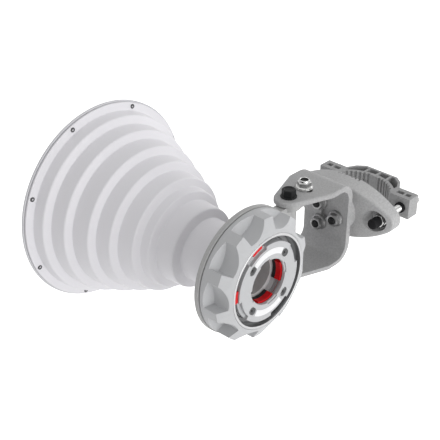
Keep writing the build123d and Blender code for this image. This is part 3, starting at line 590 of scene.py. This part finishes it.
# %% Flange screws
screw_r = 1.5
screw_head_r = 2.6
socket_r = 1.1
screw_circle_r = 107
screw_seat = mouth_front + mouth_flange
screw_end = screw_seat - 4.6
screw_top = screw_seat + 1.4
socket_floor = screw_seat + 0.5
flange_screw_points = [
    (0, screw_end),
    (screw_r, screw_end),
    (screw_r, screw_seat),
    (screw_head_r, screw_seat),
    (screw_head_r, screw_top, {"round": 0.6}),
    (socket_r, screw_top, {"flat": 1}),
    (socket_r, socket_floor, {"flat": 1}),
    (0, socket_floor),
]
flange_screws = turned(
    "flange_screws_finished",
    flange_screw_points,
    "port",
    port_place,
    finishes["screw_steel"],
    Segments=36,
    **{"Count": 8, "Circle Radius": screw_circle_r * mm, "Start Angle": math.radians(22.5)},
)
stand_in(flange_screws, "flange_screws")

# %% [markdown]
# ## The throat, the bright trim and the seal of the groove
# Inside the port a turned throat leads the waves into the neck of the horn. Round the port, a bright ring trims the
# inner rim of the grip ring, and a soft ring lies at the bottom of the groove behind it.

# %% Throat, trim ring and groove seal
guide_r, guide_end = 19.5, 6.5
waveguide_r, flare_start = 18.5, -30
seat_r, seat_height = 24.8, 19.5
neck_fit_r, shoulder_height = 30.8, 5.2
flare_r, throat_end = 28.5, -45
throat_points = [
    (guide_r, seat_height, {"round": 0.3}),
    (seat_r, seat_height),
    (seat_r, shoulder_height),
    (neck_fit_r, shoulder_height),
    (neck_fit_r, throat_end),
    (flare_r, throat_end),
    (waveguide_r, flare_start),
    (waveguide_r, guide_end),
    (guide_r, guide_end),
    (guide_r, seat_height),
]
throat = turned("feed_throat_finished", throat_points, "port", port_place, finishes["throat_aluminium"], Segments=128)
stand_in(throat, "feed_throat")

trim_inner_r, trim_outer_r = 47.4, 50
trim_low, trim_high = 29, 35
trim_points = [(trim_inner_r, trim_low), (trim_inner_r, trim_high, {"round": 0.5})]
trim_points += [(trim_outer_r, trim_high, {"round": 0.7}), (trim_outer_r, trim_low), (trim_inner_r, trim_low)]
trim = turned("trim_ring_finished", trim_points, "port", port_place, finishes["trim_bright"], Segments=192)
stand_in(trim, "trim_ring")

groove_inner_r, groove_outer_r = 42.4, 47.2
groove_low, groove_high = 17.8, 23.6
groove_points = [(groove_inner_r, groove_low), (groove_outer_r, groove_low)]
groove_points += [(radius, groove_high, {"round": 1}) for radius in (groove_outer_r, groove_inner_r)]
groove_points += [(groove_inner_r, groove_low)]
groove_grey = finish("Grey groove ring", (0.28, 0.28, 0.285), 0.6)
groove = turned("groove_seal_finished", groove_points, "port", port_place, groove_grey, Segments=128)
stand_in(groove, "groove_seal")

# %% [markdown]
# ## Nuts, washers and bolts
# The nuts and bolts here are of metric size eight, with hexagons 13 millimetres across. A real hexagon is turned
# before it is cut, so its corners are chamfered by a cone, and each flat ends in a shallow curve. That is what the
# tree's "drop" does. The nuts have a flange that spreads the load, and the azimuth nut has a collar that stops it
# from shaking loose. The functions below give the points of a line for each kind.

# %% Lines of the hardware
bolt_r = 4.0
bore_r = 4.1
across = 6.5
chamfer_r = 6.15
chamfer_slope = 0.55
flange_r = 8.6
head_thickness = 5.4
washer_r, washer_thickness = 9.0, 1.6
hardware = {"Segments": 72, "Flats": 6, "Chamfer Radius": chamfer_r * mm}


def flange_nut(base, height, collar=0.0, bore=bore_r):
    """Flange nut whose seat is at a height, with or without a locking collar."""
    top = base + height - collar
    line = [
        (bore, base),
        (flange_r, base, {"round": 0.3}),
        (flange_r, base + 0.9, {"round": 0.4}),
        (7.2, base + 1.5, {"round": 0.3}),
        (across, base + 1.6, {"flat": 1}),
        (across, top, {"flat": 1, "drop": chamfer_slope}),
        (chamfer_r, top),
    ]
    if collar:
        line += [(5.5, top, {"round": 0.2}), (5.3, top + collar, {"round": 0.8})]
    line += [(bore + 0.5, base + height), (bore, base + height - 0.5), (bore, base)]
    return line


def washer(base, thickness, radius):
    """Flat washer with eased edges."""
    eased = {"round": 0.3}
    top = base + thickness
    return [(bore_r, base), (radius, base, eased), (radius, top, eased), (bore_r, top), (bore_r, base)]


def threaded_end(start, end, rows_per_turn=6, pitch=1.25):
    """Rows of a thread from one height to another, ending in a small chamfer on the axis."""
    sign = 1 if end > start else -1
    count = int(abs(end - start) / pitch * rows_per_turn)
    rows = [(bolt_r, start + (end - start) * k / count, {"thread": 1}) for k in range(count)]
    return rows + [(bolt_r - 0.6, end - sign * 0.05), (0, end)]


# %% [markdown]
# The azimuth bolt stands upright in the slot of the yoke's upper plate, with its head below and its nut on top. Its
# heights are read from the boxes of the frame's own pieces, so that the new pieces lie just where the solids do.

# %% Azimuth bolt, washer and nut
azimuth_plain = 6
azimuth_place = Vector(((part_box("azimuth_nut")[0].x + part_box("azimuth_nut")[1].x) / 2, 0, 0))
head_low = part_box("azimuth_bolt")[0].z / mm
bolt_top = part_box("azimuth_bolt")[1].z / mm
head_top = head_low + head_thickness
azimuth_bolt_points = [
    (0, head_low),
    (chamfer_r, head_low),
    (across, head_low, {"flat": 1, "drop": -chamfer_slope}),
    (across, head_top, {"flat": 1}),
    (bolt_r, head_top),
    (bolt_r, head_top + azimuth_plain),
] + threaded_end(head_top + azimuth_plain, bolt_top)
azimuth_bolt = turned(
    "azimuth_bolt_finished", azimuth_bolt_points, "up", azimuth_place, finishes["bolt_black"], **hardware
)
stand_in(azimuth_bolt, "azimuth_bolt")

washer_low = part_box("azimuth_washer")[0].z / mm
azimuth_washer = turned(
    "azimuth_washer_finished",
    washer(washer_low, washer_thickness, washer_r),
    "up",
    azimuth_place,
    finishes["bolt_steel"],
    **hardware,
)
stand_in(azimuth_washer, "azimuth_washer")

nut_low, nut_high = (corner.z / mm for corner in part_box("azimuth_nut"))
azimuth_nut = turned(
    "azimuth_nut_finished",
    flange_nut(nut_low, nut_high - nut_low, collar=2.4),
    "up",
    azimuth_place,
    finishes["bolt_steel"],
    **hardware,
)
stand_in(azimuth_nut, "azimuth_nut")

# %% [markdown]
# The three elevation bolts stand on one circle about the tilt axis, so the tree repeats them on that circle. Their
# washers and nuts get a duller steel than the others.

# %% Elevation bolts, washers and nuts
elevation_circle_r = 14.4
elevation_plain = 24
elevation = dict(hardware, **{"Count": 3, "Circle Radius": elevation_circle_r * mm})
origin = Vector((0, 0, 0))
head_low, bolt_top = (corner.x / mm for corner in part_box("elevation_bolts"))
head_top = head_low + head_thickness
elevation_bolt_points = [
    (0, head_low),
    (chamfer_r, head_low),
    (across, head_low, {"flat": 1, "drop": -chamfer_slope}),
    (across, head_top, {"flat": 1}),
    (bolt_r, head_top),
    (bolt_r, head_top + elevation_plain),
] + threaded_end(head_top + elevation_plain, bolt_top)
elevation_bolts = turned(
    "elevation_bolts_finished", elevation_bolt_points, "horn side", origin, finishes["bolt_black"], **elevation
)
stand_in(elevation_bolts, "elevation_bolts")
dull_steel = finish("Dull plated steel", (0.30, 0.30, 0.30), 0.36, metallic=0.9)
washer_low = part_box("elevation_washers")[0].x / mm
elevation_washers = turned(
    "elevation_washers_finished",
    washer(washer_low, washer_thickness, washer_r),
    "horn side",
    origin,
    dull_steel,
    **elevation,
)
stand_in(elevation_washers, "elevation_washers")
nut_low, nut_high = (corner.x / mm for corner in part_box("elevation_nuts"))
elevation_nuts = turned(
    "elevation_nuts_finished",
    flange_nut(nut_low, nut_high - nut_low),
    "horn side",
    origin,
    dull_steel,
    **elevation,
)
stand_in(elevation_nuts, "elevation_nuts")

# %% [markdown]
# The pivot bolts are black flange bolts, one from above and one from below, and their heads are slightly dished.

# %% Pivot bolts and washers
pivot_x = 0.128
pivot_seat = 46.65
pivot_length = 26
pivot_head = 8.6
dish, dish_r, dish_rim_r = 0.6, 4.3, 4.9
pivot_points = [
    (0, -pivot_length),
    (bolt_r - 0.4, -pivot_length),
    (bolt_r, 0.4 - pivot_length),
    (bolt_r, 0),
    (flange_r, 0, {"round": 0.3}),
    (flange_r, 0.9, {"round": 0.4}),
    (7.2, 1.5, {"round": 0.3}),
    (across, 1.6, {"flat": 1}),
    (across, pivot_head, {"flat": 1, "drop": chamfer_slope}),
    (chamfer_r, pivot_head),
    (dish_rim_r, pivot_head, {"round": 0.3}),
    (dish_r, pivot_head - dish, {"round": 0.3}),
    (0, pivot_head - dish),
]
for side, facing in ((1, "up"), (-1, "down")):
    pivot_place = Vector((pivot_x, 0, side * pivot_seat * mm))
    pivot_bolt = turned(
        "pivot_bolt_" + facing, pivot_points, facing, pivot_place, finishes["bolt_black"], **hardware
    )
    stand_in(pivot_bolt, "pivot_bolts")

# %% [markdown]
# The two clamp bolts lie on either side of the mast, so they stand on one circle round the axis of the elevation
# boss. The nuts have a wider bore than the others, because the bolts slide through them with the jaw.

# %% Clamp bolts, nuts, sleeves and caps
clamp_circle_r = 50.6
clamp_head = 9.0
moving_bore_r = 4.3
sleeve_r = 6.0
pair = dict(hardware, **{"Count": 2, "Circle Radius": clamp_circle_r * mm})
head_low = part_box("clamp_bolts")[0].x / mm
bolt_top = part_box("clamp_bolts")[1].x / mm
head_seat = head_low + clamp_head
clamp_bolt_points = [
    (0, head_low + dish),
    (dish_r, head_low + dish, {"round": 0.3}),
    (dish_rim_r, head_low, {"round": 0.3}),
    (chamfer_r, head_low),
    (across, head_low, {"flat": 1, "drop": -chamfer_slope}),
    (across, head_seat - 1.6, {"flat": 1}),
    (7.2, head_seat - 1.5, {"round": 0.3}),
    (flange_r, head_seat - 0.9, {"round": 0.4}),
    (flange_r, head_seat, {"round": 0.3}),
    (bolt_r, head_seat),
] + threaded_end(head_seat + 1, bolt_top)
clamp_bolts = turned(
    "clamp_bolts_finished", clamp_bolt_points, "horn side", origin, finishes["bolt_steel"], **pair
)
stand_in(clamp_bolts, "clamp_bolts")

nut_low, nut_high = (corner.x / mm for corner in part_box("clamp_nuts"))
clamp_nuts = turned(
    "clamp_nuts_finished",
    flange_nut(nut_low, nut_high - nut_low, bore=moving_bore_r),
    "horn side",
    origin,
    finishes["bolt_steel"],
    **pair,
)
stand_in(clamp_nuts, "clamp_nuts")

sleeve_low, sleeve_high = (corner.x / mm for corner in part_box("jaw_sleeves"))
sleeves = turned(
    "jaw_sleeves_finished",
    washer(sleeve_low, sleeve_high - sleeve_low, sleeve_r),
    "horn side",
    origin,
    finishes["cap_black"],
    **pair,
)
stand_in(sleeves, "jaw_sleeves")

cap_low, cap_high = (corner.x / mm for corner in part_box("bolt_caps"))
cap_r = 5.8
cap_end = 2.0
cap_points = [
    (bore_r, cap_low),
    (cap_r, cap_low, {"round": 0.4}),
    (cap_r, cap_high, {"round": 1.8}),
    (0, cap_high),
    (0, cap_high - cap_end),
    (bore_r, cap_high - cap_end),
    (bore_r, cap_low),
]
caps = turned("bolt_caps_finished", cap_points, "horn side", origin, finishes["cap_black"], **pair)
stand_in(caps, "bolt_caps")

# %% [markdown]
# ## Pieces kept as they are
# The two arc labels are bare film, and the thin washers between yoke and carrier are nearly hidden. Their plain
# solids already look right, so they only get their finish.

# %% Kept pieces
for node in ("cover_labels", "pivot_washers"):
    kept = frame["nodes"][node]
    kept.data.materials.clear()
    kept.data.materials.append(finishes[node_slot[node]])
    print(node, "kept")

# %% [markdown]
# ## Floor and light
# The photograph has a plain white ground and very soft light from large panels. Here a wide pale floor lies well
# below the antenna, and the world is white for the camera but dimmer as a lamp, so that the ground looks white
# without more light falling on the object. Light Path tells the shader which kind of ray is asking.

# %% Floor and world
floor_drop = 0.30
floor_size = 30
floor_height = frame_low.z - floor_drop
bpy.ops.mesh.primitive_plane_add(size=floor_size, location=(0, 0, floor_height))
floor = bpy.context.object
floor.name = "floor"


def seen_directly(tree):
    """A value that is 1 for rays that a viewer sees, straight or mirrored."""
    nodes = Nodes(tree)
    path = tree.nodes.new("ShaderNodeLightPath")
    seen = nodes.math("MAXIMUM", path.outputs["Is Camera Ray"], path.outputs["Is Glossy Ray"])
    return nodes.math("MAXIMUM", seen, path.outputs["Is Transmission Ray"])


floor_paint = bpy.data.materials.new("Pale floor")
floor_paint.use_nodes = True
floor_nodes = floor_paint.node_tree.nodes
floor_links = floor_paint.node_tree.links
floor_nodes["Principled BSDF"].inputs["Base Color"].default_value = (0.9, 0.9, 0.9, 1)
floor_nodes["Principled BSDF"].inputs["Roughness"].default_value = 0.9
floor_nodes["Principled BSDF"].inputs["Emission Color"].default_value = (1, 1, 1, 1)
floor_nodes["Principled BSDF"].inputs["Emission Strength"].default_value = 0.14
glow = floor_nodes.new("ShaderNodeEmission")
glow.inputs["Color"].default_value = (1, 1, 1, 1)
blend = floor_nodes.new("ShaderNodeAddShader")
choose = floor_nodes.new("ShaderNodeMixShader")
floor_links.new(seen_directly(floor_paint.node_tree), choose.inputs["Fac"])
floor_links.new(floor_nodes["Principled BSDF"].outputs["BSDF"], choose.inputs[1])
floor_links.new(floor_nodes["Principled BSDF"].outputs["BSDF"], blend.inputs[0])
floor_links.new(glow.outputs["Emission"], blend.inputs[1])
glow.inputs["Strength"].default_value = 0.62
floor_links.new(blend.outputs["Shader"], choose.inputs[2])
floor_links.new(choose.outputs["Shader"], floor_nodes["Material Output"].inputs["Surface"])
floor.data.materials.append(floor_paint)

world = bpy.data.worlds.new("Studio")
bpy.context.scene.world = world
world.use_nodes = True
world_nodes = world.node_tree.nodes
ground = world_nodes["Background"]
ground.inputs["Color"].default_value = (1, 1, 1, 1)
world_steps = Nodes(world.node_tree)
lamp_strength = 0.47
strength = world_steps.math("MULTIPLY", seen_directly(world.node_tree), 1.0 - lamp_strength)
strength = world_steps.math("ADD", strength, lamp_strength)
world.node_tree.links.new(strength, ground.inputs["Strength"])
print("floor height:", round(floor_height, 3), "world as a lamp:", lamp_strength)

# %% [markdown]
# Three soft panels shape the object. The back panel stands on the side of the port and lights the faces that look
# that way, such as the steps of the horn and the front of the grip ring. The far panel shines from the side of the
# mast, and a weak top panel hangs above the horn.

# %% Lamps
object_centre = (frame_low + frame_high) / 2


def panel(name, place, size, power):
    """A soft square lamp that looks at the object."""
    lamp = bpy.data.objects.new(name, bpy.data.lights.new(name, "AREA"))
    bpy.context.collection.objects.link(lamp)
    lamp.data.shape = "SQUARE"
    lamp.data.size = size
    lamp.data.energy = power
    lamp.location = place
    lamp.rotation_euler = (object_centre - Vector(place)).to_track_quat("-Z", "Y").to_euler()
    return lamp


panel("Back panel", (0.25, 2.2, 0.35), size=1.6, power=25)
panel("Far panel", (-1.6, 0.4, 0.5), size=1.4, power=10)
panel("Top panel", (0.3, -0.3, 1.4), size=1.2, power=2.6)
print("lamps:", len(bpy.data.lights))
bpy.context.scene.view_settings.view_transform = "Standard"

# %% [markdown]
# ## Sizes
# The box of the frame, taken right after loading, is written down.

# %% Sizes, and the end
print("frame box", [round(v, 4) for v in (*frame_low, *frame_high)])
